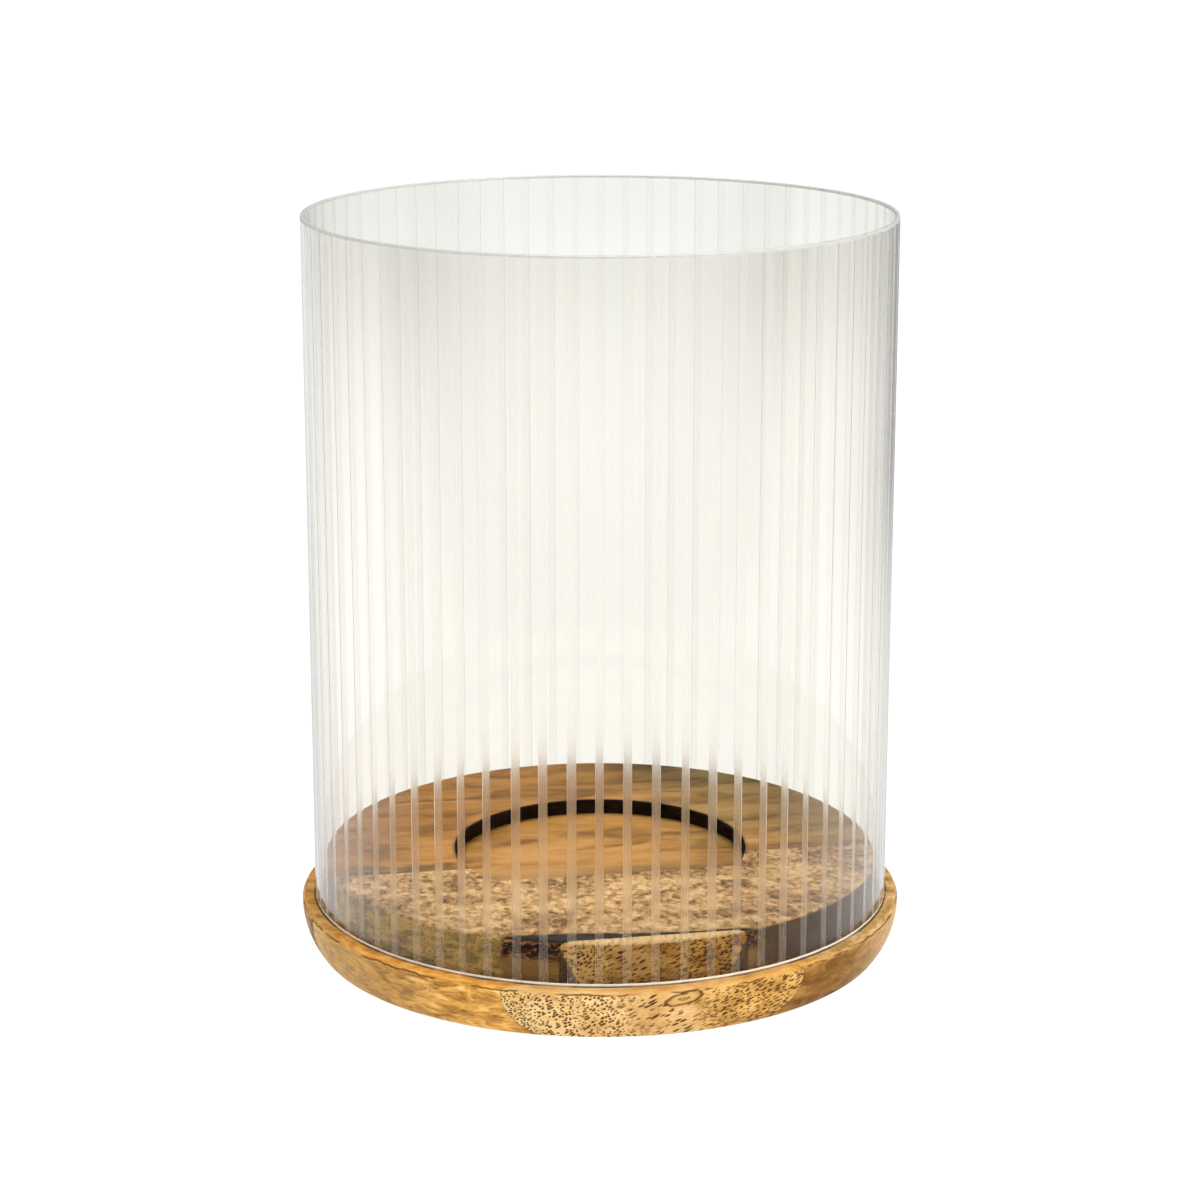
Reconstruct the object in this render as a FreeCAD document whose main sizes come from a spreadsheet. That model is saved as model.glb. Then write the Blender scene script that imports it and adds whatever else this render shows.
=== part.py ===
"""Hurricane candle holder: a fluted glass sleeve that stands on a turned wooden base.

The base is one disc, edge-glued from four boards and then turned. A foot flange carries the
glass on its ledge, a raised plateau centres the glass from inside, and a shallow round recess
in the plateau takes a pillar candle. +Z is up and the origin is the centre of the underside.
"""

import FreeCAD, Part
import math
import os
import Sketcher

SIZES = {
    "glass_outer_radius": 78.0,
    "glass_wall": 1.2,
    "glass_height": 185.0,
    "rim_chamfer": 0.25,
    "flute_count": 68,
    "flute_width": 2.2,
    "flute_depth": 0.06,
    "ledge_height": 14.0,
    "flange_radius": 81.5,
    "flange_edge_round": 1.5,
    "side_arc_radius": 19.6,
    "foot_round": 1.5,
    "plateau_radius": 75.3,
    "plateau_height": 11.0,
    "plateau_edge_round": 1.3,
    "recess_radius": 39.5,
    "recess_depth": 4.0,
    "recess_chamfer": 0.4,
    "board_angle": 11,
    "board_width": 58.8,
    "front_seam": 71.3,
}

# Sketcher's numbers for the origin and for the places on a line or an arc
ORIGIN = (-1, 1)
HORIZONTAL_AXIS = -1
VERTICAL_AXIS = -2
START, END, CENTRE = 1, 2, 3

THROUGH_ALL = 1
VOLUME_TOLERANCE = 0.02

doc = FreeCAD.newDocument("candle_holder")
sheet = doc.addObject("Spreadsheet::Sheet", "Sizes")
for row, (alias, value) in enumerate(SIZES.items(), start=1):
    sheet.set(f"A{row}", alias)
    sheet.set(f"B{row}", str(value))
    sheet.setAlias(f"B{row}", alias)
doc.recompute()


def size(alias):
    """One driving dimension, read back from the sheet."""
    return float(getattr(sheet, alias))


def line(start, end):
    return Part.LineSegment(FreeCAD.Vector(*start, 0), FreeCAD.Vector(*end, 0))


def arc(centre, radius, start_degrees, end_degrees):
    circle = Part.Circle(FreeCAD.Vector(*centre, 0), FreeCAD.Vector(0, 0, 1), radius)
    return Part.ArcOfCircle(circle, math.radians(start_degrees), math.radians(end_degrees))


def new_body(label):
    body = doc.addObject("PartDesign::Body", label)
    body.Label = label
    return body


def new_sketch(body, name, plane):
    """An empty sketch on one of the body's own origin planes."""
    sketch = body.newObject("Sketcher::SketchObject", name)
    support = next(f for f in body.Origin.OriginFeatures if f.Role == plane)
    sketch.AttachmentSupport = (support, [""])
    sketch.MapMode = "FlatFace"
    return sketch


def constrain(sketch, kind, *places):
    return sketch.addConstraint(Sketcher.Constraint(kind, *places))


def dimension(sketch, kind, places, formula):
    """A dimension that starts at the drawn size and then follows a formula of the sheet's cells."""
    index = constrain(sketch, kind, *places)
    sketch.setExpression(f"Constraints[{index}]", formula)


def join(sketch, kind, first, second):
    """The end of one edge meets the start of the next, tangent or only coincident."""
    constrain(sketch, kind, first, END, second, START)


def revolve(body, sketch, name):
    feature = body.newObject("PartDesign::Revolution", name)
    feature.Profile = sketch
    feature.ReferenceAxis = (sketch, ["V_Axis"])
    feature.Angle = 360
    body.Tip = feature
    doc.recompute()


def check_volume(name, found, expected):
    if abs(found - expected) > VOLUME_TOLERANCE * abs(expected):
        raise ValueError(f"{name}: volume {found:.0f} mm3, expected about {expected:.0f} mm3")


def draw_base_profile(sketch):
    """Half section of the base, counter-clockwise from the centre of the underside."""
    ledge = size("ledge_height")
    top = ledge + size("plateau_height")
    edge_round = size("flange_edge_round")
    edge_x = size("flange_radius") - edge_round
    edge_z = ledge - edge_round
    side_radius = size("side_arc_radius")
    side_x = size("flange_radius") - side_radius
    foot_round = size("foot_round")
    foot_drop = edge_z - foot_round
    foot_reach = math.sqrt((side_radius - foot_round) ** 2 - foot_drop**2)
    foot_x = side_x + foot_reach
    foot_angle = math.degrees(math.atan2(-foot_drop, foot_reach))
    plateau = size("plateau_radius")
    plateau_round = size("plateau_edge_round")
    recess = size("recess_radius")
    chamfer = size("recess_chamfer")
    floor = top - size("recess_depth")

    edges = [
        ("underside", line((0, 0), (foot_x, 0))),
        ("foot", arc((foot_x, foot_round), foot_round, -90, foot_angle)),
        ("side", arc((side_x, edge_z), side_radius, foot_angle, 0)),
        ("edge", arc((edge_x, edge_z), edge_round, 0, 90)),
        ("ledge", line((edge_x, ledge), (plateau, ledge))),
        ("wall", line((plateau, ledge), (plateau, top - plateau_round))),
        ("shoulder", arc((plateau - plateau_round, top - plateau_round), plateau_round, 0, 90)),
        ("plateau", line((plateau - plateau_round, top), (recess + chamfer, top))),
        ("chamfer", line((recess + chamfer, top), (recess, top - chamfer))),
        ("recess", line((recess, top - chamfer), (recess, floor))),
        ("floor", line((recess, floor), (0, floor))),
        ("axis", line((0, floor), (0, 0))),
    ]
    edge = {name: sketch.addGeometry(curve, False) for name, curve in edges}

    constrain(sketch, "Coincident", edge["underside"], START, *ORIGIN)
    for name in ("underside", "ledge", "plateau", "floor"):
        constrain(sketch, "Horizontal", edge[name])
    for name in ("wall", "recess", "axis"):
        constrain(sketch, "Vertical", edge[name])
    names = [name for name, _ in edges]
    corners = ("ledge", "plateau", "chamfer", "recess", "floor", "axis")
    for name, following in zip(names, names[1:] + names[:1]):
        join(sketch, "Coincident" if name in corners else "Tangent", edge[name], edge[following])

    rounds = [
        ("foot", foot_round, "Sizes.foot_round"),
        ("side", side_radius, "Sizes.side_arc_radius"),
        ("edge", edge_round, "Sizes.flange_edge_round"),
        ("shoulder", plateau_round, "Sizes.plateau_edge_round"),
    ]
    for name, radius, formula in rounds:
        dimension(sketch, "Radius", (edge[name], radius), formula)
    across = [
        (("edge", CENTRE), edge_x, "Sizes.flange_radius - Sizes.flange_edge_round"),
        (("wall", START), plateau, "Sizes.plateau_radius"),
        (("recess", START), recess, "Sizes.recess_radius"),
    ]
    for (name, place), value, formula in across:
        dimension(sketch, "DistanceX", (*ORIGIN, edge[name], place, value), formula)
    up = [
        (("side", CENTRE), edge_z, "Sizes.ledge_height - Sizes.flange_edge_round"),
        (("ledge", START), ledge, "Sizes.ledge_height"),
        (("plateau", START), top, "Sizes.ledge_height + Sizes.plateau_height"),
    ]
    for (name, place), value, formula in up:
        dimension(sketch, "DistanceY", (*ORIGIN, edge[name], place, value), formula)
    rim = edge["chamfer"]
    wall = edge["recess"]
    dimension(sketch, "DistanceX", (rim, END, rim, START, chamfer), "Sizes.recess_chamfer")
    dimension(sketch, "DistanceY", (rim, END, rim, START, chamfer), "Sizes.recess_chamfer")
    depth = size("recess_depth") - chamfer
    formula = "Sizes.recess_depth - Sizes.recess_chamfer"
    dimension(sketch, "DistanceY", (wall, END, wall, START, depth), formula)


def make_turned_disc():
    """The whole base as it leaves the lathe, before it is read as four boards."""
    body = new_body("turned_disc")
    sketch = new_sketch(body, "BaseProfile", "XZ_Plane")
    draw_base_profile(sketch)
    doc.recompute()
    revolve(body, sketch, "Turning")
    return body


def make_board(name, y_from, y_to):
    """One glued board of the base: the stretch of the turned disc between two seam lines."""
    board = doc.addObject("Part::Box", f"{name}_board")
    board.setExpression("Length", "2 * Sizes.flange_radius")
    board.setExpression("Width", f"({y_to}) - ({y_from})")
    board.setExpression("Height", "Sizes.ledge_height + Sizes.plateau_height")
    board.setExpression("Placement.Base.x", "-Sizes.flange_radius")
    board.setExpression("Placement.Base.y", y_from)
    stave = doc.addObject("Part::Common", name)
    stave.Label = name
    stave.Base = turned_disc
    stave.Tool = board
    stave.Placement = FreeCAD.Placement(
        FreeCAD.Vector(0, 0, 0), FreeCAD.Rotation(FreeCAD.Vector(0, 0, 1), size("board_angle"))
    )
    stave.setExpression("Placement.Rotation.Angle", "Sizes.board_angle")
    return stave


def draw_glass_wall(sketch):
    """Section of the sleeve's wall, with both rims chamfered."""
    outer = size("glass_outer_radius")
    inner = outer - size("glass_wall")
    top = size("glass_height")
    cut = size("rim_chamfer")
    points = [
        (inner + cut, 0), (outer - cut, 0), (outer, cut), (outer, top - cut),
        (outer - cut, top), (inner + cut, top), (inner, top - cut), (inner, cut),
    ]
    count = len(points)
    for index in range(count):
        sketch.addGeometry(line(points[index], points[(index + 1) % count]), False)
    for index in range(count):
        join(sketch, "Coincident", index, (index + 1) % count)
    bottom_rim, outside, top_rim, inside = 0, 2, 4, 6
    constrain(sketch, "Horizontal", bottom_rim)
    constrain(sketch, "Horizontal", top_rim)
    constrain(sketch, "Vertical", outside)
    constrain(sketch, "Vertical", inside)
    constrain(sketch, "PointOnObject", bottom_rim, START, HORIZONTAL_AXIS)
    outer_formula = "Sizes.glass_outer_radius"
    inner_formula = "Sizes.glass_outer_radius - Sizes.glass_wall"
    dimension(sketch, "DistanceX", (*ORIGIN, outside, START, outer), outer_formula)
    dimension(sketch, "DistanceX", (*ORIGIN, inside, START, inner), inner_formula)
    dimension(sketch, "DistanceY", (*ORIGIN, top_rim, START, top), "Sizes.glass_height")
    for chamfer, left, low in ((1, START, START), (3, END, START), (5, END, END), (7, START, END)):
        right, high = START + END - left, START + END - low
        dimension(sketch, "DistanceX", (chamfer, left, chamfer, right, cut), "Sizes.rim_chamfer")
        dimension(sketch, "DistanceY", (chamfer, low, chamfer, high, cut), "Sizes.rim_chamfer")


def draw_flute_cutter(sketch):
    """Section of one flute: a box that takes a shallow flat off the front of the tube."""
    half = size("flute_width") / 2
    flat = size("glass_outer_radius") - size("flute_depth")
    outside = size("glass_outer_radius") + size("flute_width")
    corners = [(-half, -outside), (half, -outside), (half, -flat), (-half, -flat)]
    for index in range(4):
        sketch.addGeometry(line(corners[index], corners[(index + 1) % 4]), False)
    for index in range(4):
        join(sketch, "Coincident", index, (index + 1) % 4)
    far, right, near, left = range(4)
    for edge in (far, near):
        constrain(sketch, "Horizontal", edge)
    for edge in (right, left):
        constrain(sketch, "Vertical", edge)
    flat_formula = "Sizes.glass_outer_radius - Sizes.flute_depth"
    outside_formula = "Sizes.glass_outer_radius + Sizes.flute_width"
    dimension(sketch, "DistanceX", (far, START, far, END, 2 * half), "Sizes.flute_width")
    dimension(sketch, "DistanceX", (*ORIGIN, right, START, half), "Sizes.flute_width / 2")
    dimension(sketch, "DistanceY", (near, START, *ORIGIN, flat), flat_formula)
    dimension(sketch, "DistanceY", (far, START, *ORIGIN, outside), outside_formula)


def make_glass():
    """The sleeve: a straight tube, open at both ends, with shallow flats ground down its outside."""
    body = new_body("glass_sleeve")
    wall = new_sketch(body, "WallSection", "XZ_Plane")
    draw_glass_wall(wall)
    doc.recompute()
    revolve(body, wall, "Tube")
    tube_volume = body.Shape.Volume

    flute = new_sketch(body, "FluteCutter", "XY_Plane")
    draw_flute_cutter(flute)
    doc.recompute()

    groove = body.newObject("PartDesign::Pocket", "Flute")
    groove.Profile = flute
    groove.Type = THROUGH_ALL
    groove.Reversed = True
    doc.recompute()
    one_flute = tube_volume - body.Shape.Volume
    pattern = body.newObject("PartDesign::PolarPattern", "Flutes")
    pattern.Originals = [groove]
    pattern.Axis = (flute, ["N_Axis"])
    pattern.Angle = 360
    pattern.setExpression("Occurrences", "Sizes.flute_count")
    body.Tip = pattern
    body.setExpression("Placement.Base.z", "Sizes.ledge_height")
    doc.recompute()

    width = size("flute_width")
    section = width * size("flute_depth") - width**3 / (24 * size("glass_outer_radius"))
    segment = section * size("glass_height")
    check_volume("one flute", one_flute, segment)
    check_volume("all flutes", tube_volume - body.Shape.Volume, size("flute_count") * segment)
    return body


turned_disc = make_turned_disc()
rear = "Sizes.flange_radius"
seams = [f"-Sizes.front_seam + {number} * Sizes.board_width" for number in range(3)]
parts = [
    make_board("front_edge_stave", f"-{rear}", seams[0]),
    make_board("front_stave", seams[0], seams[1]),
    make_board("middle_stave", seams[1], seams[2]),
    make_board("back_stave", seams[2], rear),
    make_glass(),
]
doc.recompute()

for item in doc.Objects:
    if {"Invalid", "Error"} & set(item.State):
        raise ValueError(f"{item.Label} failed: {item.State}")
for part in parts:
    if part.Shape.isNull() or not part.Shape.isValid() or len(part.Shape.Solids) != 1:
        raise ValueError(f"{part.Label} isn't one valid solid")
staves_volume = sum(part.Shape.Volume for part in parts[:-1])
check_volume("four boards together", staves_volume, turned_disc.Shape.Volume)

os.makedirs("parts", exist_ok=True)
for part in parts:
    part.Shape.exportStep(f"parts/{part.Label}.step")
    box = part.Shape.optimalBoundingBox(False, False)
    print(f"{part.Label}: {part.Shape.Volume / 1000:.1f} cm3, z {box.ZMin:.2f} to {box.ZMax:.2f}")
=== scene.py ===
import math
import random

import bmesh
import bpy
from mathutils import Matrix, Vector


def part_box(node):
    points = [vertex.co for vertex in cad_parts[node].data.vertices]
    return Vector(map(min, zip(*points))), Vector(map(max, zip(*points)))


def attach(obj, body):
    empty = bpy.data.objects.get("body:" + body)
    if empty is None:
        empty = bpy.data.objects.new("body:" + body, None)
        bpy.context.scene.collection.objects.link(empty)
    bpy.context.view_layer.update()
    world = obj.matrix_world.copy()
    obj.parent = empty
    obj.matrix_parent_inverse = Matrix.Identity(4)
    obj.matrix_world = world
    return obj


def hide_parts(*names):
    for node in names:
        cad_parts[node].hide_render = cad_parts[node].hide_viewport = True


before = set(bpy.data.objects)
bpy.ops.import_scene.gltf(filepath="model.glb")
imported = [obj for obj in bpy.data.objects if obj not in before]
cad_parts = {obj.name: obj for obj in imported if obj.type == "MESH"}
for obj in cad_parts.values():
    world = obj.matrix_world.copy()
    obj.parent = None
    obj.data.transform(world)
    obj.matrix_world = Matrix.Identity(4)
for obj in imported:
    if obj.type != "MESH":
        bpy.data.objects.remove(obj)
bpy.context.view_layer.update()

MM = 0.001

# Heights that the frame gives, in metres
GLASS_LOW, GLASS_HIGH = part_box("glass_sleeve")
LEDGE_Z = GLASS_LOW.z
TOP_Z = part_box("middle_stave")[1].z

# Sizes that part.py gives, in metres
GLASS_RADIUS = 78.0 * MM
GLASS_WALL = 1.2 * MM
FLUTES = 68
FLUTE_WIDTH = 2.2 * MM
FLUTE_DEPTH = 0.06 * MM
FLANGE_RADIUS = 81.5 * MM
EDGE_ROUND = 1.5 * MM
SIDE_ARC_RADIUS = 19.6 * MM
FOOT_ROUND = 1.5 * MM
PLATEAU_RADIUS = 75.3 * MM
PLATEAU_ROUND = 1.3 * MM
RECESS_RADIUS = 39.5 * MM
RECESS_DEPTH = 4.0 * MM
RECESS_CHAMFER = 0.4 * MM
SEAM_ANGLE = math.radians(11)
SEAM_NORMAL = Vector((math.sin(SEAM_ANGLE), -math.cos(SEAM_ANGLE), 0))
FRONT_SEAM = 71.3 * MM
BOARD_WIDTH = 58.8 * MM
SEAMS = [FRONT_SEAM - number * BOARD_WIDTH for number in range(3)]

# Edges of the glass that are finer than in part.py, and how far a supporting loop lies beside a
# rounded edge, in metres
RIM_ROUND = 0.4 * MM
FOOT_RIM_ROUND = 0.45 * MM
FLUTE_BEVEL = 0.08 * MM
SUPPORT = 0.4 * MM

# How finely the meshes are divided, with extra rings in the flat faces, and which edges look sharp
CORNER_STEPS = 4
FLAT_STEPS = 4
LAND_STEPS = 6
BASE_STEPS = 256
SIDE_STEPS = 12
EDGE_STEPS = 6
UNDERSIDE_RING = 40 * MM
PLATEAU_RING = 56 * MM
FLOOR_RINGS = (25 * MM, 12 * MM)
SHARP_ANGLE = math.radians(35)

# The slots of the glass's materials, and the slots of the stretches round its outside
LAND, FLUTE, FOOT, RIM, BEVEL = range(5)
OUTSIDE_SLOTS = {"land": LAND, "ground": FLUTE, "bevel": BEVEL}


# Camera

CAMERA_LENS = 95.6
CAMERA_SENSOR = 36
CAMERA_PLACE = (0, -0.829, 0.3112)
CAMERA_DOWN = math.radians(14.66)


def add_camera():
    """A long lens a little above the rim, tipped down by the photograph's angle."""
    data = bpy.data.cameras.new("camera")
    data.lens = CAMERA_LENS
    data.sensor_width = CAMERA_SENSOR
    data.dof.use_dof = False
    camera = bpy.data.objects.new("camera", data)
    camera.location = CAMERA_PLACE
    camera.rotation_euler = (math.pi / 2 - CAMERA_DOWN, 0, 0)
    bpy.context.collection.objects.link(camera)
    bpy.context.scene.camera = camera


# Node helpers

class Nodes:
    """Short names for making and wiring one material's nodes. Distances are in millimetres."""

    def __init__(self, name):
        self.material = bpy.data.materials.new(name)
        self.material.use_nodes = True
        self.tree = self.material.node_tree
        self.tree.nodes.clear()
        self.place = self.scale(self.add("ShaderNodeTexCoord").outputs["Object"], 1 / MM)

    def add(self, kind, **settings):
        node = self.tree.nodes.new(kind)
        for key, value in settings.items():
            setattr(node, key, value)
        return node

    def put(self, socket, value):
        """Links the socket, or sets it when the value is a number, a vector or a colour."""
        if isinstance(value, bpy.types.NodeSocket):
            self.tree.links.new(value, socket)
        elif isinstance(value, tuple) and len(value) == 3 and socket.type == "RGBA":
            socket.default_value = (*value, 1)
        else:
            socket.default_value = value

    def math(self, operation, first, second=0.0, third=0.0):
        node = self.add("ShaderNodeMath", operation=operation)
        for socket, value in zip(node.inputs, (first, second, third)):
            self.put(socket, value)
        return node.outputs[0]

    def vector(self, operation, first, second=(0, 0, 0)):
        node = self.add("ShaderNodeVectorMath", operation=operation)
        self.put(node.inputs[0], first)
        self.put(node.inputs[1], second)
        return node.outputs["Vector"]

    def scale(self, vector, factor):
        node = self.add("ShaderNodeVectorMath", operation="SCALE")
        self.put(node.inputs[0], vector)
        self.put(node.inputs["Scale"], factor)
        return node.outputs["Vector"]

    def length(self, vector):
        node = self.add("ShaderNodeVectorMath", operation="LENGTH")
        self.put(node.inputs[0], vector)
        return node.outputs["Value"]

    def split(self, vector):
        node = self.add("ShaderNodeSeparateXYZ")
        self.put(node.inputs[0], vector)
        return node.outputs

    def turned(self, vector, angles):
        node = self.add("ShaderNodeMapping", vector_type="POINT")
        self.put(node.inputs["Vector"], vector)
        node.inputs["Rotation"].default_value = angles
        return node.outputs["Vector"]

    def step(self, value, low, high, to_low=0.0, to_high=1.0):
        """A smooth change from to_low to to_high as value goes from low to high."""
        node = self.add("ShaderNodeMapRange", interpolation_type="SMOOTHSTEP")
        for name, setting in zip(
            ("Value", "From Min", "From Max", "To Min", "To Max"), (value, low, high, to_low, to_high)
        ):
            self.put(node.inputs[name], setting)
        return node.outputs[0]

    def both(self, *masks):
        """Where every one of the masks is; a number among them weakens or strengthens the result."""
        result = masks[0]
        for mask in masks[1:]:
            result = self.math("MULTIPLY", result, mask)
        return result

    def band(self, value, low, low_full, high_full, high):
        """A mask that is full from low_full to high_full, and gone at low and at high."""
        return self.both(self.step(value, low, low_full), self.step(value, high, high_full))

    def mix(self, factor, first, second, blend="MIX"):
        """The first colour, or the second where the factor is 1."""
        node = self.add("ShaderNodeMix", data_type="RGBA", blend_type=blend)
        self.put(node.inputs[0], factor)
        self.put(node.inputs[6], first)
        self.put(node.inputs[7], second)
        return node.outputs[2]

    def tint(self, mask, color, by):
        """The colour, multiplied by another one where the mask is."""
        return self.mix(mask, color, self.mix(1.0, color, by, "MULTIPLY"))

    def noise(self, size, detail=2.0, roughness=0.5, twist=0.0, shift=0.0, place=None):
        """Noise whose features measure size, in millimetres along each axis."""
        place = self.place if place is None else place
        stretched = self.vector("DIVIDE", place, tuple(size))
        node = self.add("ShaderNodeTexNoise")
        moved = self.vector("ADD", stretched, (shift, shift * 2.3, shift * 0.7))
        for name, setting in zip(
            ("Vector", "Scale", "Detail", "Roughness", "Distortion"), (moved, 1.0, detail, roughness, twist)
        ):
            self.put(node.inputs[name], setting)
        return node.outputs["Fac"]

    def waver(self, size, detail, amount):
        """A distance that wanders about 0, by up to half of that amount each way."""
        return self.math("MULTIPLY", self.math("SUBTRACT", self.noise(size, detail), 0.5), amount)

    def ramp(self, factor, *stops):
        """Colours from stops of (place, colour)."""
        node = self.add("ShaderNodeValToRGB")
        self.put(node.inputs[0], factor)
        elements = node.color_ramp.elements
        while len(elements) < len(stops):
            elements.new(0.5)
        for element, (place, color) in zip(elements, stops):
            element.position = place
            element.color = (*color, 1)
        return node.outputs[0]

    def share(self, noise, part):
        """A mask of 1 over about this part of a noise of low detail."""
        spread, blur = 0.1, 0.02
        middle = 0.5 + (0.5 - part) * 4 * spread
        return self.step(noise, middle - blur, middle + blur)

    def bump(self, height, depth, strength=1.0):
        """A normal for a surface that rises by depth millimetres where height is 1."""
        node = self.add("ShaderNodeBump")
        node.inputs["Strength"].default_value = strength
        node.inputs["Distance"].default_value = depth * MM
        self.put(node.inputs["Height"], height)
        return node.outputs["Normal"]

    def principled(self, settings):
        node = self.add("ShaderNodeBsdfPrincipled")
        for name, value in settings.items():
            self.put(node.inputs[name], value)
        return node

    def finish(self, shader):
        output = self.add("ShaderNodeOutputMaterial")
        self.put(output.inputs["Surface"], shader.outputs[0])
        return self.material


class WoodNodes(Nodes):
    """A board's material, with the place of a point in the base.

    along and across are measured from the axis, along the seams to the right and across them to the
    back. up is the height above the ground, and radius the distance from the axis.
    """

    def __init__(self, name):
        super().__init__(name)
        self.board = self.turned(self.place, (0, 0, -SEAM_ANGLE))
        self.along, self.across, self.up = self.split(self.board)
        self.radius = self.length(self.vector("MULTIPLY", self.place, (1, 1, 0)))
        self.from_seam = self.behind(FRONT_SEAM)
        facing_up = self.split(self.add("ShaderNodeTexCoord").outputs["Normal"])[2]
        at_wall = self.band(self.radius, 74.2, 74.8, 75.5, 75.9)
        self.on_plateau_wall = self.both(at_wall, self.step(facing_up, 0.75, 0.35))
        self.on_ledge = self.both(self.step(self.up, 12.6, 13.3), self.step(self.radius, 75.5, 75.9))

    def behind(self, seam):
        """How far behind that seam a point lies."""
        return self.math("ADD", self.across, seam / MM)

    def dots(self, apart, width, tilt=0.0, thin_out=0.0, shift=0.0):
        """Cut-off pores on a face towards the front.

        apart is how far they lie from each other sideways and upwards, and width their size as a
        share of it. They lean by tilt degrees, and thin_out is the share of them that is missing.
        """
        smallest, largest, edge_out, edge_in = 0.55 * width, 1.15 * width, 1.35, 0.6
        wander = self.scale(self.spread(self.noise((7, 7, 7), 1.0, shift=shift + 3)), 3.0)
        leaning = self.turned(self.vector("ADD", self.place, wander), (0, math.radians(tilt), 0))
        sideways, _, upwards = self.split(self.vector("DIVIDE", leaning, (apart[0], 1, apart[1])))
        face = self.add("ShaderNodeCombineXYZ")
        self.put(face.inputs[0], sideways)
        self.put(face.inputs[1], upwards)
        cells = self.add("ShaderNodeTexVoronoi", voronoi_dimensions="2D")
        self.put(cells.inputs["Vector"], self.vector("ADD", face.outputs[0], (shift, shift, 0)))
        self.put(cells.inputs["Scale"], 1.0)
        self.put(cells.inputs["Randomness"], 0.9)
        chance = self.add("ShaderNodeSeparateColor")
        self.put(chance.inputs[0], cells.outputs["Color"])
        there = self.step(chance.outputs[0], thin_out, thin_out + 0.05)
        large = self.step(chance.outputs[1], 0.0, 1.0, smallest, largest)
        reach = self.math("MAXIMUM", self.both(there, large), 0.01)
        return self.step(self.math("DIVIDE", cells.outputs["Distance"], reach), edge_out, edge_in)

    def spread(self, value):
        """The same small push along every axis, from a value about 0.5."""
        node = self.add("ShaderNodeCombineXYZ")
        centred = self.math("SUBTRACT", value, 0.5)
        for socket in node.inputs:
            self.put(socket, centred)
        return node.outputs[0]

    def oiled(self, color, height, roughness):
        """Satin oiled wood, with its open pores as dents."""
        return self.finish(self.principled({
            "Base Color": color, "Roughness": roughness, "Normal": self.bump(height, 0.12),
            "Specular IOR Level": 0.06, "Coat Weight": 0.02, "Coat Roughness": 0.3,
        }))


# Materials: colours are linear, and distances are in millimetres

HEARTWOOD = (0.030, 0.017, 0.012)
# The near black of the recess's wall, also used for the painted shade round its edge
RECESS_BLACK = (0.007, 0.004, 0.0022)
PORE = (0.075, 0.026, 0.002)
WALL_PORE = (0.05, 0.03, 0.015)
# Painted contact shadow beside the glass's foot
GLASS_FOOT_SHADOW = (0.05, 0.032, 0.012)
# Painted shade along the ledge's outer edge
LEDGE_EDGE_SHADE = (0.11, 0.050, 0.010)
SHADED_TAN = (0.20, 0.115, 0.045)
SOOTY = (0.10, 0.060, 0.028)
KNOT_PLACE = (21.1, -78.7, 11.2)
KNOT_SIZE = (4.6, 12.0, 1.7)
KNOT_LEAN = math.radians(8)


def add_seam_lines(nodes, color):
    """The glue between boards shows as a hair line."""
    for seam in SEAMS:
        away = nodes.math("ABSOLUTE", nodes.behind(seam))
        color = nodes.mix(nodes.step(away, 0.18, 0.04, 0.0, 0.3), color, HEARTWOOD)
    return color


def add_ledge_stain_and_shade(nodes, color, strength=0.85):
    """Round the ledge the finish is orange, brown at the ends, between two thin dark lines of painted
    shade: a contact shadow beside the glass's foot and a line along the outer edge.
    """
    stripes = nodes.noise((5, 5, 0.5), 3.0, 0.65)
    orange = nodes.ramp(
        stripes, (0.3, (0.41, 0.155, 0.018)), (0.5, (0.70, 0.30, 0.048)), (0.7, (0.87, 0.48, 0.14)),
    )
    brown = nodes.ramp(
        stripes, (0.3, (0.20, 0.10, 0.025)), (0.5, (0.46, 0.27, 0.085)), (0.7, (0.66, 0.46, 0.24)),
    )
    right_end = nodes.step(nodes.along, 30, 55)
    left_end = nodes.step(nodes.along, -70, -80, 0.0, 0.5)
    stain = nodes.mix(nodes.math("MAXIMUM", right_end, left_end), orange, brown)
    color = nodes.mix(nodes.both(nodes.on_ledge, strength), color, stain)

    broken = nodes.step(nodes.noise((12, 12, 12), 3.0), 0.40, 0.55, 0.35, 0.85)
    # Painted contact shadow: a thin dark line on the ledge just outside the glass's foot, broken in places
    painted_foot_shadow = nodes.both(nodes.on_ledge, nodes.step(nodes.radius, 78.6, 78.3), broken)
    color = nodes.mix(painted_foot_shadow, color, GLASS_FOOT_SHADOW)

    # Painted shade: a dashed dark line along the ledge's outer rounded edge
    level = nodes.math("ADD", nodes.up, nodes.waver((4, 4, 4), 2.0, 1.2))
    dashes = nodes.step(nodes.noise((8, 8, 8), 2.0), 0.44, 0.54, 0.0, 0.85)
    outside = nodes.step(nodes.radius, 78, 79)
    painted_edge_shade = nodes.both(nodes.band(level, 12.85, 13.05, 13.25, 13.45), outside, dashes)
    return nodes.mix(painted_edge_shade, color, LEDGE_EDGE_SHADE)


def add_knot(nodes, color):
    """A small oval knot near the ledge, ringed in brown."""
    uneven = nodes.scale(nodes.spread(nodes.noise((4.0, 4.0, 2.5), 1.0)), 2.2)
    offset = nodes.vector("SUBTRACT", nodes.vector("ADD", nodes.place, uneven), KNOT_PLACE)
    leaning = nodes.turned(offset, (0, KNOT_LEAN, 0))
    away = nodes.length(nodes.vector("DIVIDE", leaning, KNOT_SIZE))
    rings = nodes.ramp(
        away, (0.16, (0.50, 0.27, 0.08)), (0.28, (0.15, 0.060, 0.008)), (0.42, (0.66, 0.40, 0.14)),
        (0.74, (0.55, 0.30, 0.09)), (0.88, (0.11, 0.043, 0.006)),
    )
    return nodes.mix(nodes.step(away, 1.14, 0.98, 0.0, 0.9), color, rings)


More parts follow.
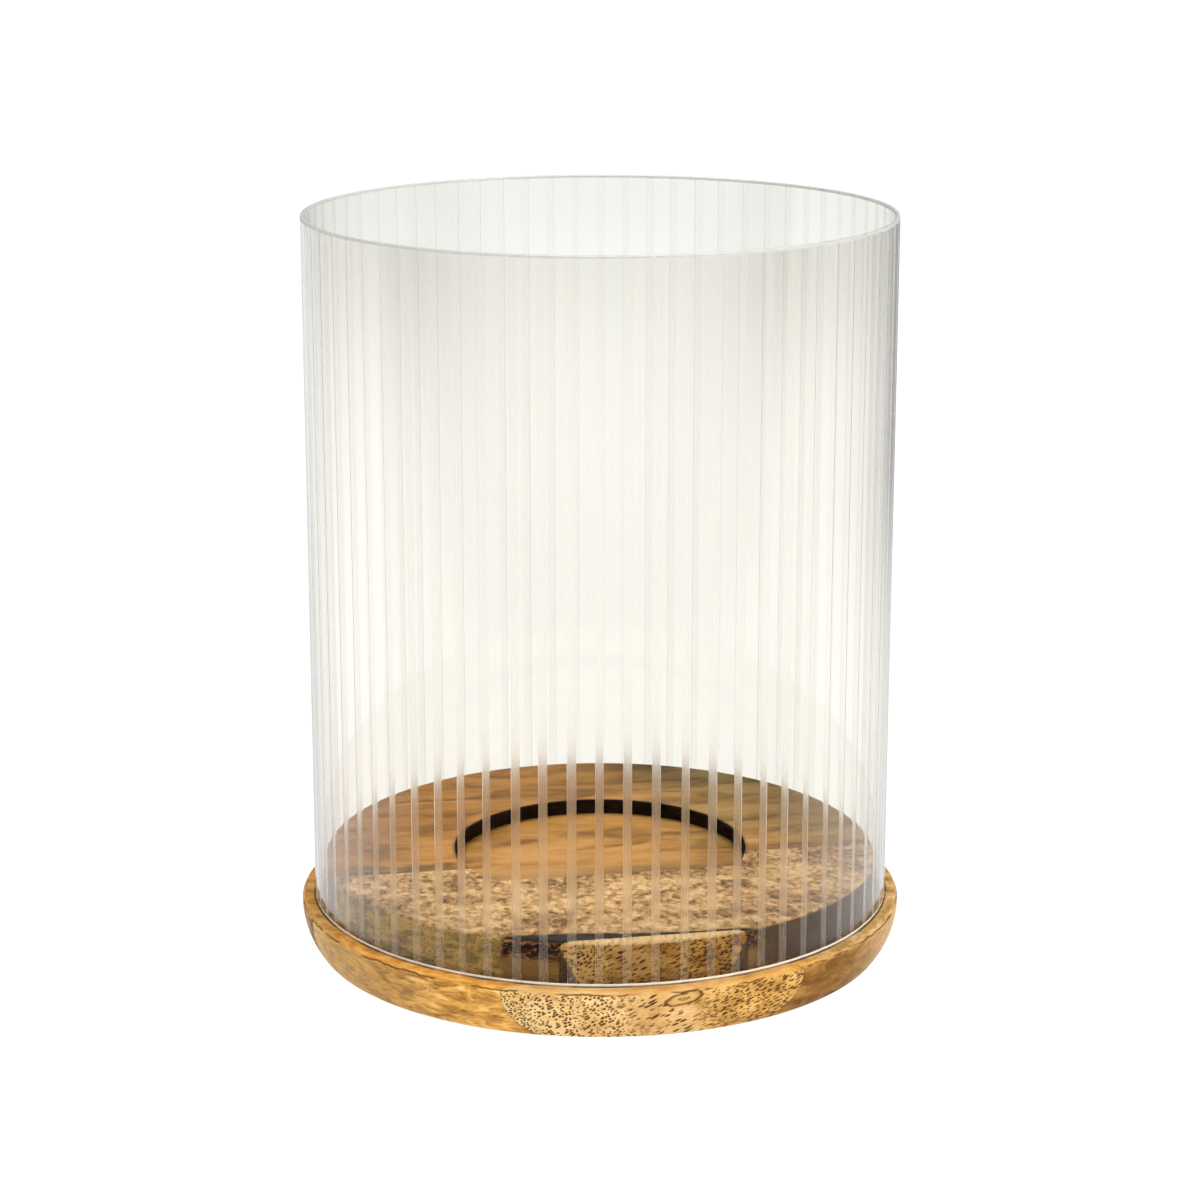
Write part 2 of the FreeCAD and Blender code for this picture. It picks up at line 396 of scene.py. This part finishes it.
def wood_pale():
    """Pale board at the front: its pores are cut across, round at the left and slanting at the right."""
    nodes = WoodNodes("wood_pale")
    uneven = nodes.step(nodes.noise((14, 14, 14), 1.0), 0.3, 0.7, -7.0, 7.0)
    uneven = nodes.math("ADD", uneven, nodes.both(nodes.on_plateau_wall, 14.0))
    along = nodes.math("ADD", nodes.along, uneven)
    past_left = nodes.step(along, -30, -24)
    right = nodes.step(along, -16, 6)
    middle = nodes.band(along, -14, 0, 10, 20)
    far_right = nodes.step(along, 12, 24)

    tone = nodes.noise((9, 9, 3.5), 3.0, 0.6)
    color = nodes.ramp(
        tone, (0.28, (0.55, 0.31, 0.09)), (0.45, (0.78, 0.48, 0.18)), (0.68, (0.92, 0.63, 0.28)),
    )
    golden = nodes.ramp(
        tone, (0.3, (0.34, 0.165, 0.030)), (0.5, (0.62, 0.33, 0.080)), (0.7, (0.84, 0.51, 0.17)),
    )
    color = nodes.tint(middle, color, (0.86, 0.80, 0.75))
    color = nodes.mix(far_right, color, golden)
    hairs = nodes.noise((2.2, 2.2, 0.35), 2.0, 0.6, place=nodes.board)
    color = nodes.mix(nodes.step(hairs, 0.5, 0.75, 0.0, 0.35), color, (0.45, 0.24, 0.08))

    small_pores = nodes.dots((0.85, 0.62), 0.37, tilt=20.0, thin_out=0.05, shift=1.0)
    round_pores = nodes.dots((1.25, 0.82), 0.37, tilt=27.0, thin_out=0.05, shift=2.0)
    long_pores = nodes.dots((3.2, 0.95), 0.30, tilt=23.0, thin_out=0.18, shift=5.0)
    fine_pores = nodes.dots((1.7, 0.6), 0.37, tilt=17.0, thin_out=0.08, shift=9.0)
    pores = nodes.mix(past_left, small_pores, round_pores)
    pores = nodes.mix(right, pores, long_pores)
    pores = nodes.mix(far_right, pores, fine_pores)
    pores = nodes.both(pores, nodes.step(nodes.on_ledge, 0.9, 0.1))
    color = nodes.mix(nodes.both(pores, 0.95), color, PORE)
    color = add_knot(nodes, color)

    shaded = nodes.mix(nodes.step(nodes.along, -16, -3), (1.0, 0.92, 0.78), (0.87, 0.79, 0.70))
    color = nodes.tint(nodes.on_plateau_wall, color, shaded)
    # A pale band at the plateau's rounded top edge: partly the pale wood of the board's thin top, partly a
    # painted highlight
    sliver_and_edge_highlight = nodes.both(nodes.step(nodes.up, 24.0, 24.6), nodes.step(nodes.radius, 76, 75.5), 0.6)
    color = nodes.mix(sliver_and_edge_highlight, color, (0.86, 0.60, 0.30))
    narrowing = nodes.step(nodes.up, 25, 14, 0.0, 1.3)
    leaning_seam = nodes.math("ADD", nodes.from_seam, narrowing)
    leaning_seam = nodes.math("ADD", leaning_seam, nodes.both(hairs, 0.2))
    past_seam = nodes.both(nodes.on_plateau_wall, nodes.step(leaning_seam, 0.05, 0.25))
    color = nodes.mix(past_seam, color, (0.13, 0.075, 0.035))
    color = nodes.tint(nodes.both(nodes.on_ledge, 0.8), color, (0.80, 0.84, 0.90))
    color = add_ledge_stain_and_shade(nodes, color, 0.35)
    color = add_seam_lines(nodes, color)
    height = nodes.math("SUBTRACT", nodes.both(hairs, 0.2), pores)
    return nodes.oiled(color, height, nodes.step(tone, 0.3, 0.7, 0.5, 0.38))


def front_board_side(nodes, smudges):
    """The front board's flange: golden at the left, brown at the right, lit by painted light left of the
    middle and paled by a painted sheen at both ends.
    """
    color = nodes.ramp(
        smudges, (0.30, (0.14, 0.064, 0.010)), (0.42, (0.37, 0.180, 0.034)), (0.55, (0.68, 0.350, 0.074)),
        (0.7, (0.93, 0.56, 0.17)),
    )
    brown = nodes.ramp(
        smudges, (0.3, (0.10, 0.045, 0.008)), (0.5, (0.24, 0.105, 0.018)), (0.7, (0.40, 0.20, 0.05)),
    )
    color = nodes.mix(nodes.step(nodes.along, 15, 45), color, brown)
    # Painted sheen: both ends of the flange turn paler
    painted_end_sheen = nodes.step(nodes.math("ABSOLUTE", nodes.along), 50, 80, 0.0, 0.75)
    color = nodes.mix(painted_end_sheen, color, (0.77, 0.51, 0.24))
    # Painted light: the flange lighter and whiter left of the middle
    color = nodes.tint(nodes.band(nodes.along, -63, -52, -10, 0), color, (1.22, 1.22, 1.30))
    color = nodes.tint(nodes.band(nodes.along, -82, -77, -66, -56), color, (0.80, 0.74, 0.60))
    fine = nodes.noise((4.5, 4.5, 0.7), 4.0, 0.7)
    return nodes.mix(nodes.step(fine, 0.46, 0.68, 0.0, 0.62), color, (0.21, 0.098, 0.022))


def front_board_wall(nodes, smudges, pores):
    """The front board's part of the plateau's wall: tan at the left, dark brown at the right."""
    color = nodes.mix(nodes.step(nodes.along, -30, 45), (0.68, 0.42, 0.12), (0.086, 0.030, 0.007))
    color = nodes.mix(nodes.step(smudges, 0.38, 0.62, 0.6, 0.0), color, (0.11, 0.07, 0.030))
    return nodes.mix(nodes.both(pores, 0.5), color, WALL_PORE)


def add_heartwood(nodes, color):
    """Dark heartwood beside the front seam, narrower to the right, with flecks high on the wall."""
    ragged = nodes.waver((6, 2, 2), 3.0, 2.4)
    depth = nodes.step(nodes.along, -34, 14, 6.4, 1.2)
    past_edge = nodes.math("SUBTRACT", nodes.math("ADD", nodes.from_seam, ragged), depth)
    heart = nodes.both(
        nodes.step(past_edge, 0.5, -0.5), nodes.step(nodes.up, 13.6, 14.4),
        nodes.band(nodes.along, -44, -37, 30, 44),
    )
    flecks = nodes.noise((2.4, 2.4, 1.4), 3.0, 0.6, 1.2)
    flecked = nodes.ramp(flecks, (0.46, HEARTWOOD), (0.54, (0.12, 0.045, 0.02)), (0.62, (0.50, 0.24, 0.10)))
    plain = nodes.mix(nodes.on_plateau_wall, HEARTWOOD, (0.33, 0.172, 0.055))
    high_on_wall = nodes.both(nodes.on_plateau_wall, nodes.step(nodes.up, 18.5, 21.0))
    return nodes.mix(heart, color, nodes.mix(high_on_wall, plain, flecked))


def wood_front():
    """Front board: mottled beige on top, dark heartwood along its front seam, golden sides."""
    nodes = WoodNodes("wood_front")
    mottle = nodes.noise((1.9, 2.4, 2.4), 3.0, 0.58, 0.4, place=nodes.board)
    patches = nodes.noise((22, 7, 7), 2.0, 0.5, 0.5, place=nodes.board)
    mottle = nodes.math("ADD", mottle, nodes.step(patches, 0.3, 0.7, -0.10, 0.07))
    top = nodes.ramp(
        mottle, (0.31, (0.15, 0.080, 0.036)), (0.42, (0.34, 0.19, 0.078)), (0.52, (0.50, 0.29, 0.12)),
        (0.66, (0.72, 0.47, 0.23)),
    )
    smudges = nodes.noise((8, 8, 3.0), 4.0, 0.62, 0.7)
    pores = nodes.both(nodes.dots((1.2, 0.7), 0.26, thin_out=0.3), nodes.on_plateau_wall)
    color = nodes.mix(nodes.step(nodes.radius, 75.4, 76.0), top, front_board_side(nodes, smudges))
    color = nodes.mix(nodes.on_plateau_wall, color, front_board_wall(nodes, smudges, pores))
    color = add_heartwood(nodes, color)
    color = add_ledge_stain_and_shade(nodes, color)
    color = add_seam_lines(nodes, color)
    height = nodes.math("SUBTRACT", nodes.both(mottle, 0.5), pores)
    return nodes.oiled(color, height, nodes.step(mottle, 0.3, 0.7, 0.5, 0.36))


def add_dark_marks_and_shade(nodes, color, clouds, dark):
    """Dark bands along the rear seams, dull ends, a smudge at the left, and a dark band round the recess's
    edge that is painted shade on the recess floor.
    """
    ragged = nodes.waver((9, 3, 3), 3.0, 7.0)
    for seam in SEAMS[1:]:
        away = nodes.math("ABSOLUTE", nodes.math("ADD", nodes.behind(seam), ragged))
        band = nodes.both(nodes.step(away, 2.6, 0.6), nodes.step(clouds, 0.62, 0.45), 0.75)
        color = nodes.mix(band, color, dark)
    from_second = nodes.behind(SEAMS[1])
    shade = nodes.both(nodes.step(from_second, 11, 1), nodes.step(nodes.radius, 40, 38), 0.5)
    color = nodes.mix(shade, color, SHADED_TAN)
    from_middle = nodes.math("ABSOLUTE", nodes.along)
    ends = nodes.both(nodes.step(from_middle, 44, 62, 0.0, 0.8), nodes.step(nodes.radius, 77, 75.5))
    color = nodes.tint(ends, color, (0.74, 0.76, 0.76))
    patchy = nodes.step(nodes.noise((8, 3, 3), 3.0), 0.36, 0.56)
    from_second = nodes.math("ADD", from_second, nodes.both(ragged, 0.6))
    smudge = nodes.both(
        nodes.step(nodes.along, -26, -44), patchy, nodes.band(from_second, -0.5, 1.2, 4.5, 8.0), 0.75,
    )
    color = nodes.mix(smudge, color, SOOTY)
    edge = RECESS_RADIUS / MM
    # A dark band round the recess's edge: painted shade on the recess floor below the wall, and a darker
    # rim on top
    dark_rim_and_shade = nodes.band(nodes.radius, edge - 2.6, edge - 0.2, edge + 0.2, edge + 1.6)
    return nodes.mix(nodes.both(dark_rim_and_shade, 0.6), color, RECESS_BLACK)


def smooth_wood(name, light, middle, dark, seed):
    """Rear boards: orange-gold face grain in long soft streaks, darker towards the seams."""
    nodes = WoodNodes(name)
    clouds = nodes.noise((26, 9, 9), 3.0, 0.55, 0.8, shift=seed, place=nodes.board)
    color = nodes.ramp(clouds, (0.34, dark), (0.48, middle), (0.66, light))
    olive = nodes.both(nodes.step(nodes.along, 5, 35), nodes.step(nodes.across, 38, 52))
    color = nodes.tint(olive, color, (0.60, 0.61, 0.52))
    greyer = nodes.both(nodes.step(nodes.along, 12, 45), nodes.step(nodes.across, -14, 12))
    color = nodes.tint(greyer, color, (0.84, 1.0, 1.15))
    warmer = nodes.both(nodes.step(nodes.along, 14, -4), nodes.step(nodes.radius, 39.5, 41))
    color = nodes.tint(warmer, color, (0.97, 0.89, 0.72))
    streaks = nodes.noise((26, 2.6, 2.6), 2.0, 0.5, 0.3, shift=seed + 2, place=nodes.board)
    color = nodes.mix(nodes.step(streaks, 0.46, 0.82, 0.0, 0.32), color, dark)
    hairs = nodes.noise((4, 0.5, 0.5), 2.0, 0.6, shift=seed + 4, place=nodes.board)
    color = nodes.mix(nodes.step(hairs, 0.55, 0.8, 0.0, 0.2), color, dark)
    on_side = nodes.both(nodes.step(nodes.radius, 75.5, 77.0), nodes.step(nodes.up, 14.0, 12.5))
    color = nodes.mix(nodes.both(on_side, 0.45), color, middle)
    fibres = nodes.noise((12, 3, 0.6), 4.0, 0.7, shift=seed + 6, place=nodes.board)
    color = nodes.mix(nodes.both(on_side, nodes.step(fibres, 0.45, 0.68, 0.0, 0.65)), color, dark)
    color = add_dark_marks_and_shade(nodes, color, clouds, dark)
    color = add_ledge_stain_and_shade(nodes, color)
    color = add_seam_lines(nodes, color)
    height = nodes.math("ADD", nodes.both(hairs, -0.5), streaks)
    return nodes.oiled(color, height, nodes.step(clouds, 0.3, 0.7, 0.46, 0.36))


def wood_middle():
    light, middle, dark = (0.59, 0.30, 0.084), (0.44, 0.208, 0.050), (0.24, 0.115, 0.031)
    return smooth_wood("wood_middle", light, middle, dark, seed=3.0)


def wood_back():
    light, middle, dark = (0.54, 0.27, 0.070), (0.41, 0.193, 0.042), (0.22, 0.108, 0.029)
    return smooth_wood("wood_back", light, middle, dark, seed=11.0)


def dark_recess_wall():
    """The wall of the recess, nearly black."""
    nodes = Nodes("dark_recess_wall")
    ash = nodes.noise((3, 3, 1.0), 3.0, 0.6)
    return nodes.finish(nodes.principled({
        "Base Color": nodes.ramp(ash, (0.35, RECESS_BLACK), (0.75, (0.030, 0.017, 0.009))),
        "Roughness": nodes.step(ash, 0.3, 0.7, 0.7, 0.9),
        "Normal": nodes.bump(ash, 0.1),
        "Specular IOR Level": 0.05,
    }))


GLASS_IOR = 1.5
TINT_START, TINT_END = 145, 199


def rim_tint(nodes, color):
    """The glass is a little greyer towards its rim."""
    near_rim = nodes.step(nodes.split(nodes.place)[2], TINT_START, TINT_END)
    return nodes.tint(near_rim, color, (0.885, 0.89, 0.885))


def clear_glass():
    """The polished lands and the inside, very slightly wavy."""
    nodes = Nodes("clear_glass")
    waves = nodes.noise((25, 25, 90), 1.0)
    return nodes.finish(nodes.principled({
        "Base Color": rim_tint(nodes, (0.965, 0.957, 0.92)),
        "Roughness": 0.0, "IOR": GLASS_IOR, "Transmission Weight": 1.0,
        "Normal": nodes.bump(waves, 0.4, 0.1),
    }))


def ground_glass(name, haze, haze_color, polished, roughness, sheen):
    """Ground glass: of its fine grain one share is haze, one is still polished and the rest is dull."""
    nodes = Nodes(name)
    grain = nodes.noise((0.06, 0.06, 0.12), 1.0)
    speck = nodes.noise((0.06, 0.06, 0.12), 1.0, shift=40)
    hazy = nodes.share(grain, haze)
    return nodes.finish(nodes.principled({
        "Base Color": nodes.mix(hazy, rim_tint(nodes, (0.97, 0.96, 0.925)), haze_color),
        "Roughness": nodes.both(nodes.share(speck, 1 - polished), roughness),
        "Transmission Weight": nodes.math("SUBTRACT", 1.0, hazy),
        "Sheen Weight": sheen, "Sheen Roughness": 0.4, "IOR": GLASS_IOR,
    }))


# Meshes

def new_piece(name, mesh, body, nodes_replaced):
    """A visible piece that rides on a body, in place of those CAD nodes."""
    piece = bpy.data.objects.new(name, mesh)
    bpy.context.collection.objects.link(piece)
    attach(piece, body)
    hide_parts(*nodes_replaced)
    return piece


def flute_angles():
    """Centre, width and depth of each flute; hand cutting leaves them a little uneven."""
    draw = random.Random(7)
    pitch = 2 * math.pi / FLUTES
    first = -math.pi / 2
    flutes = []
    for number in range(FLUTES):
        centre = first + (number + draw.uniform(-0.06, 0.06)) * pitch
        width = FLUTE_WIDTH * draw.uniform(0.9, 1.08)
        flutes.append((centre, width, FLUTE_DEPTH * draw.uniform(0.85, 1.0)))
    return flutes


def glass_outline():
    """Round the sleeve: angle, outer radius and what starts here, a bevel, a ground flat or a land."""
    outline = []
    flutes = flute_angles()
    for index, (centre, width, depth) in enumerate(flutes):
        half = width / 2
        level = GLASS_RADIUS - depth
        outline.append((centre - half / GLASS_RADIUS, GLASS_RADIUS, "bevel"))
        for step in range(FLAT_STEPS + 1):
            across = (half - FLUTE_BEVEL) * (2 * step / FLAT_STEPS - 1)
            kind = "ground" if step < FLAT_STEPS else "bevel"
            outline.append((centre + math.atan(across / level), math.hypot(across, level), kind))
        following, next_width, _ = flutes[(index + 1) % FLUTES]
        if following < centre:
            following += 2 * math.pi
        start, end = centre + half / GLASS_RADIUS, following - next_width / 2 / GLASS_RADIUS
        for step in range(LAND_STEPS):
            outline.append((start + (end - start) * step / LAND_STEPS, GLASS_RADIUS, "land"))
    return outline


def arc_points(centre, radius, start, end, steps):
    """Points on an arc, from start to end degrees, both ends included."""
    turns = [math.radians(start + (end - start) * step / steps) for step in range(steps + 1)]
    return [(centre[0] + radius * math.cos(t), centre[1] + radius * math.sin(t)) for t in turns]


def wall_section(outer):
    """One section of the wall: from the outside over the rim, down inside and round the foot."""
    inner = GLASS_RADIUS - GLASS_WALL
    top, foot = GLASS_HIGH.z, GLASS_LOW.z
    points = []
    for rim, start, across, level in (
        (RIM_ROUND, 0, outer, top), (RIM_ROUND, 90, inner, top),
        (FOOT_RIM_ROUND, 180, inner, foot), (FOOT_RIM_ROUND, 270, outer, foot),
    ):
        centre_across = across - rim if across == outer else across + rim
        centre_level = level - rim if level == top else level + rim
        corner = arc_points((centre_across, centre_level), rim, start, start + 90, CORNER_STEPS)
        beside = centre_level + (-SUPPORT if level == top else SUPPORT)
        if start in (0, 180):
            corner = [(across, beside)] + corner
        else:
            corner = corner + [(across, beside)]
        points += corner
    return points


def make_glass():
    """The sleeve: its wall's section set up at every angle of the outline, and joined into a ring."""
    outline = glass_outline()
    rings = []
    mesh = bmesh.new()
    for angle, outer, _ in outline:
        ring = [
            mesh.verts.new((radius * math.cos(angle), radius * math.sin(angle), up))
            for radius, up in wall_section(outer)
        ]
        rings.append(ring)
    count = len(rings[0])
    quarter = count // 4
    kinds = {}
    for index, ring in enumerate(rings):
        following = rings[(index + 1) % len(rings)]
        stretch = outline[index][2]
        for place in range(count):
            after = (place + 1) % count
            face = mesh.faces.new((ring[place], following[place], following[after], ring[after]))
            face.smooth = True
            if place < 2 * quarter - 1:
                kind, face.material_index = "rim", RIM
            elif 3 * quarter <= place < count - 1:
                kind, face.material_index = "foot", FOOT
            elif place == count - 1:
                kind, face.material_index = stretch, OUTSIDE_SLOTS[stretch]
            else:
                kind, face.material_index = "inside", LAND
            kinds[face] = kind
    for edge in mesh.edges:
        edge.smooth = len({kinds[face] for face in edge.link_faces}) == 1
    mesh.normal_update()
    data = bpy.data.meshes.new("glass")
    mesh.to_mesh(data)
    mesh.free()
    data.materials.append(clear_glass())
    for name, haze, haze_color, polished, roughness, sheen in (
        # The flutes' haze is tan: frosting, with the base's wood light painted into its colour
        ("ground_flutes", 0.13, (0.92, 0.74, 0.52), 0.14, 0.24, 0.5),
        ("ground_foot", 0.9, (0.90, 0.87, 0.80), 0.0, 0.45, 0.0),
        ("ground_rim", 0.6, (0.62, 0.62, 0.58), 0.2, 0.35, 0.0),
        ("ground_bevel", 0.15, (0.95, 0.93, 0.88), 0.3, 0.3, 0.0),
    ):
        data.materials.append(ground_glass(name, haze, haze_color, polished, roughness, sheen))
    return new_piece("fluted_glass", data, "glass", ["glass_sleeve"])


def base_profile():
    """Half section of the turned base, from the axis underneath to the axis on top."""
    side_centre = (FLANGE_RADIUS - SIDE_ARC_RADIUS, LEDGE_Z - EDGE_ROUND)
    drop = side_centre[1] - FOOT_ROUND
    reach = math.sqrt((SIDE_ARC_RADIUS - FOOT_ROUND) ** 2 - drop**2)
    foot_centre = (side_centre[0] + reach, FOOT_ROUND)
    foot_angle = math.degrees(math.atan2(-drop, reach))
    edge_centre = (FLANGE_RADIUS - EDGE_ROUND, LEDGE_Z - EDGE_ROUND)
    shoulder_centre = (PLATEAU_RADIUS - PLATEAU_ROUND, TOP_Z - PLATEAU_ROUND)
    floor_z = TOP_Z - RECESS_DEPTH
    points = [(0, 0), (UNDERSIDE_RING, 0), (foot_centre[0] - SUPPORT, 0)]
    points += arc_points(foot_centre, FOOT_ROUND, -90, foot_angle, CORNER_STEPS)
    points += arc_points(side_centre, SIDE_ARC_RADIUS, foot_angle, 0, SIDE_STEPS)[1:]
    points += arc_points(edge_centre, EDGE_ROUND, 0, 90, EDGE_STEPS)[1:]
    points += [(edge_centre[0] - SUPPORT, LEDGE_Z), (PLATEAU_RADIUS, LEDGE_Z)]
    points += [(PLATEAU_RADIUS, shoulder_centre[1] - SUPPORT)]
    points += arc_points(shoulder_centre, PLATEAU_ROUND, 0, 90, EDGE_STEPS)
    points += [(shoulder_centre[0] - SUPPORT, TOP_Z), (PLATEAU_RING, TOP_Z)]
    points += [(RECESS_RADIUS + RECESS_CHAMFER, TOP_Z), (RECESS_RADIUS, TOP_Z - RECESS_CHAMFER)]
    points += [(radius, floor_z) for radius in (RECESS_RADIUS, *FLOOR_RINGS, 0)]
    return points


def turned_disc():
    """The whole base as one closed mesh, before it is cut along its seams."""
    profile = base_profile()
    mesh = bmesh.new()
    ends = [mesh.verts.new((0, 0, profile[0][1])), mesh.verts.new((0, 0, profile[-1][1]))]
    rings = []
    for radius, up in profile[1:-1]:
        turns = [2 * math.pi * step / BASE_STEPS for step in range(BASE_STEPS)]
        rings.append([mesh.verts.new((radius * math.cos(t), radius * math.sin(t), up)) for t in turns])
    for step in range(BASE_STEPS):
        after = (step + 1) % BASE_STEPS
        mesh.faces.new((ends[0], rings[0][after], rings[0][step]))
        mesh.faces.new((ends[1], rings[-1][step], rings[-1][after]))
        for low, high in zip(rings, rings[1:]):
            mesh.faces.new((low[step], low[after], high[after], high[step]))
    return mesh


def cut(mesh, distance, keep_front):
    """Cuts the mesh along the seam at that distance, keeps one side and closes the cut."""
    geometry = mesh.verts[:] + mesh.edges[:] + mesh.faces[:]
    bmesh.ops.bisect_plane(
        mesh, geom=geometry, dist=1e-7, plane_co=SEAM_NORMAL * distance, plane_no=SEAM_NORMAL,
        clear_outer=not keep_front, clear_inner=keep_front,
    )
    rim = [edge for edge in mesh.edges if edge.is_boundary]
    bmesh.ops.edgeloop_fill(mesh, edges=rim)


def make_stave(name, front, back, material):
    """One board of the base, between its front and back seams; None is the outside."""
    mesh = turned_disc()
    if front is not None:
        cut(mesh, front, keep_front=False)
    if back is not None:
        cut(mesh, back, keep_front=True)
    bmesh.ops.recalc_face_normals(mesh, faces=mesh.faces)
    for face in mesh.faces:
        face.smooth = True
    for edge in mesh.edges:
        if len(edge.link_faces) == 2 and edge.calc_face_angle() > SHARP_ANGLE:
            edge.smooth = False
    data = bpy.data.meshes.new(name)
    mesh.to_mesh(data)
    mesh.free()
    data.materials.append(material)
    data.materials.append(dark_recess_wall())
    for face in data.polygons:
        across = math.hypot(face.center.x, face.center.y)
        if abs(across - RECESS_RADIUS) < RECESS_CHAMFER and face.center.z > TOP_Z - RECESS_DEPTH:
            face.material_index = int(abs(face.normal.z) < 0.9)
    return data


def make_base():
    """The four boards, from the front to the back."""
    boards = [
        ("pale_edge_board", None, SEAMS[0], wood_pale, "wood_pale", "front_edge_stave"),
        ("front_board", SEAMS[0], SEAMS[1], wood_front, "wood_front", "front_stave"),
        ("middle_board", SEAMS[1], SEAMS[2], wood_middle, "wood_middle", "middle_stave"),
        ("back_board", SEAMS[2], None, wood_back, "wood_back", "back_stave"),
    ]
    for name, front, back, material, slot, node in boards:
        data = make_stave(name, front, back, material())
        new_piece(name, data, "base", [node])


# Stage, in metres, but for the floor's material, which is in millimetres like the others

FLOOR_HALF = 6.0
LIGHT_AIM = Vector((0, 0, 0.05))
WORLD_STRENGTH = 0.95


def add_floor():
    """A pale light table. The glass mirrors it as a dark room in front and white boards elsewhere."""
    nodes = Nodes("floor")
    distance = nodes.length(nodes.place)
    near_glow = nodes.step(distance, 300, 1500, 0.965, 0.925)
    far_glow = nodes.step(distance, 1500, 2400, 0.0, 0.12)
    table = nodes.principled({
        "Base Color": (0.12, 0.12, 0.12), "Roughness": 0.9, "Emission Color": (1, 1, 1),
        "Emission Strength": nodes.math("ADD", near_glow, far_glow),
    })

    x, y, _ = nodes.split(nodes.place)
    behind = nodes.step(y, -130, 0)
    close, to_the_side = 0.9, nodes.step(x, -100, 150, 1.0, 0.42)
    fade = nodes.step(distance, 250, 700)
    sideways = nodes.math("MULTIPLY_ADD", fade, nodes.math("SUBTRACT", to_the_side, close), close)
    in_front = nodes.step(y, -480, -1100)
    boards = nodes.add("ShaderNodeEmission")
    nodes.put(boards.inputs["Strength"], nodes.math("MULTIPLY_ADD", behind, sideways, in_front))
    mirrored = nodes.math("GREATER_THAN", nodes.add("ShaderNodeLightPath").outputs["Glossy Depth"], 0.5)
    either = nodes.add("ShaderNodeMixShader")
    for socket, value in zip(either.inputs, (mirrored, table.outputs[0], boards.outputs[0])):
        nodes.put(socket, value)

    mesh = bpy.data.meshes.new("floor")
    half = FLOOR_HALF
    corners = [(-half, -half, 0), (half, -half, 0), (half, half, 0), (-half, half, 0)]
    mesh.from_pydata(corners, [], [(0, 1, 2, 3)])
    mesh.materials.append(nodes.finish(either))
    floor = bpy.data.objects.new("floor", mesh)
    bpy.context.collection.objects.link(floor)


def add_light(name, place, size, power):
    """A soft white disc of light, turned to the base."""
    data = bpy.data.lights.new(name, "AREA")
    data.shape = "DISK"
    data.size = size
    data.energy = power
    light = bpy.data.objects.new(name, data)
    light.location = place
    light.rotation_euler = (LIGHT_AIM - Vector(place)).to_track_quat("-Z", "Y").to_euler()
    bpy.context.collection.objects.link(light)


def add_lights():
    """A white sky that the glass doesn't mirror, one light overhead and one at the right."""
    world = bpy.data.worlds.new("world")
    world.use_nodes = True
    background = world.node_tree.nodes["Background"]
    background.inputs["Color"].default_value = (1.0, 1.0, 1.0, 1)
    background.inputs["Strength"].default_value = WORLD_STRENGTH
    bpy.context.scene.world = world
    world.cycles_visibility.glossy = False
    add_light("overhead", place=(0.1, 0.2, 1.6), size=1.2, power=20)
    add_light("right", place=(1.1, -0.9, 0.7), size=0.4, power=10)


def main():
    scene = bpy.context.scene
    scene.view_settings.view_transform = "Standard"
    scene.cycles.use_denoising = True
    scene.cycles.max_bounces = 20
    scene.cycles.glossy_bounces = 16
    scene.cycles.transmission_bounces = 16
    add_camera()
    make_glass()
    make_base()
    add_floor()
    add_lights()


main()
